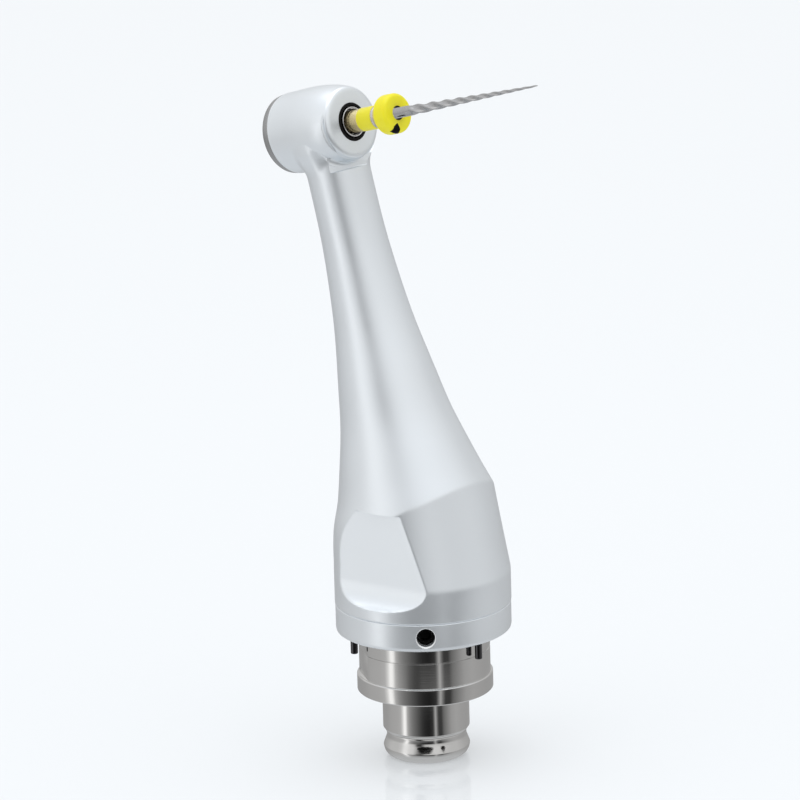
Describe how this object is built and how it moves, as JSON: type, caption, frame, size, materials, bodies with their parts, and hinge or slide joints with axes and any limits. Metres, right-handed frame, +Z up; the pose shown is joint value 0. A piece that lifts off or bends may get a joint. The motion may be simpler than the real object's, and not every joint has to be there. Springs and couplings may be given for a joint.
{
  "type": "endodontic contra-angle attachment with rotary file",
  "caption": "Contra-angle attachment of an endodontic motor: grip, bent neck, push-button head, coupling sleeve and a rotary file with a depth stop.",
  "frame": {"origin": "centre of the coupling sleeve's open end, on the grip axis", "axes": "+Z up along the grip axis from the sleeve to the grip; the neck leans towards -X and the file points to +X; the object is the same on both sides of the XZ plane apart from small fittings"},
  "size_m": [0.0352, 0.018, 0.0727],
  "materials": {
    "satin_metal": null,
    "cap_metal": null,
    "sleeve_steel": null,
    "black_oxide": null,
    "pin_steel": null,
    "gear_brass": null,
    "spring_steel": null,
    "bearing_steel": null,
    "seal_rubber": null,
    "ball_steel": null,
    "spindle_steel": null,
    "shank_brass": null,
    "yellow_enamel": null,
    "nickel_titanium": null,
    "yellow_silicone": null,
    "mark_black": null
  },
  "bodies": {
    "housing": {"body_shell": "satin_metal", "head_cap": "cap_metal", "coupling_sleeve": "sleeve_steel", "collar_ring": "satin_metal", "collar_screw": "black_oxide", "locating_pins": "pin_steel", "neck_bush": "gear_brass", "bush_clip": "spring_steel", "neck_retainer": "bearing_steel", "base_bearing_rings": "bearing_steel", "bearing_spacer": "bearing_steel", "sleeve_nut": "spring_steel", "neck_bearing_rings": "bearing_steel", "head_bearing_rings": "bearing_steel", "head_seal": "seal_rubber", "preload_washer": "spring_steel", "button_spring": "spring_steel"},
    "button": {"push_button": "cap_metal"},
    "base_drive": {"base_shaft": "bearing_steel", "base_gear": "gear_brass", "base_bearing_races": "bearing_steel", "drive_pin": "pin_steel", "spring_clip": "spring_steel", "clutch_spring": "spring_steel"},
    "dog": {"coupling_dog": "sleeve_steel"},
    "base_ball_train": {"base_balls": "ball_steel", "base_cages": "gear_brass"},
    "neck_drive": {"neck_shaft": "bearing_steel", "neck_gear": "gear_brass", "neck_pinion": "gear_brass", "neck_bearing_races": "bearing_steel"},
    "neck_ball_train": {"neck_balls": "ball_steel", "neck_cages": "gear_brass"},
    "spindle": {"chuck_spindle": "spindle_steel", "crown_gear": "gear_brass", "head_bearing_races": "bearing_steel", "latch_holder": "spindle_steel"},
    "latch": {"latch_plate": "spring_steel"},
    "head_ball_train": {"head_balls": "ball_steel", "head_cages": "gear_brass"},
    "file": {"file_shank": "shank_brass", "file_band": "yellow_enamel", "file_ring": "spindle_steel", "file_blade": "nickel_titanium"},
    "stop": {"file_stop": "yellow_silicone", "stop_mark": "mark_black"}
  },
  "joints": [
    {"name": "base_spin", "type": "hinge", "parent": "housing", "child": "base_drive", "pos_m": [0, 0, 0.015], "axis": [0, 0, 1], "continuous": true},
    {"name": "dog_slide", "type": "slide", "parent": "base_drive", "child": "dog", "axis": [0, 0, 1], "range_m": [0, 0.001], "stiffness_N_per_m": 400, "springref_m": -0.0005, "deforming": ["clutch_spring"]},
    {"name": "base_balls_spin", "type": "hinge", "parent": "housing", "child": "base_ball_train", "pos_m": [0, 0, 0.015], "axis": [0, 0, 1], "continuous": true},
    {"name": "neck_spin", "type": "hinge", "parent": "housing", "child": "neck_drive", "pos_m": [-0.00545, 0, 0.04344], "axis": [-0.2723, 0, 0.9622], "continuous": true},
    {"name": "neck_balls_spin", "type": "hinge", "parent": "housing", "child": "neck_ball_train", "pos_m": [-0.00545, 0, 0.04344], "axis": [-0.2723, 0, 0.9622], "continuous": true},
    {"name": "spindle_spin", "type": "hinge", "parent": "housing", "child": "spindle", "pos_m": [-0.01142, 0, 0.06455], "axis": [0.9622, 0, 0.2723], "continuous": true},
    {"name": "head_balls_spin", "type": "hinge", "parent": "housing", "child": "head_ball_train", "pos_m": [-0.01142, 0, 0.06455], "axis": [0.9622, 0, 0.2723], "continuous": true},
    {"name": "button_press", "type": "slide", "parent": "housing", "child": "button", "axis": [0.9622, 0, 0.2723], "range_m": [0, 0.00045], "stiffness_N_per_m": 6000, "springref_m": -0.0002, "deforming": ["button_spring"]},
    {"name": "latch_slide", "type": "slide", "parent": "spindle", "child": "latch", "axis": [-0.2723, 0, 0.9622], "range_m": [0, 0.0003]},
    {"name": "file_slide", "type": "slide", "parent": "spindle", "child": "file", "axis": [0.9622, 0, 0.2723], "range_m": [0, 0.012]},
    {"name": "stop_slide", "type": "slide", "parent": "file", "child": "stop", "axis": [0.9622, 0, 0.2723], "range_m": [-0.0003, 0.014]}
  ],
  "couplings": [
    {"joint": "neck_spin", "follows": "base_spin", "ratio": 1},
    {"joint": "spindle_spin", "follows": "base_spin", "ratio": -0.5},
    {"joint": "base_balls_spin", "follows": "base_spin", "ratio": 0.39},
    {"joint": "neck_balls_spin", "follows": "base_spin", "ratio": 0.37},
    {"joint": "head_balls_spin", "follows": "base_spin", "ratio": -0.21},
    {"joint": "latch_slide", "follows": "button_press", "ratio": 0.6666}
  ]
}
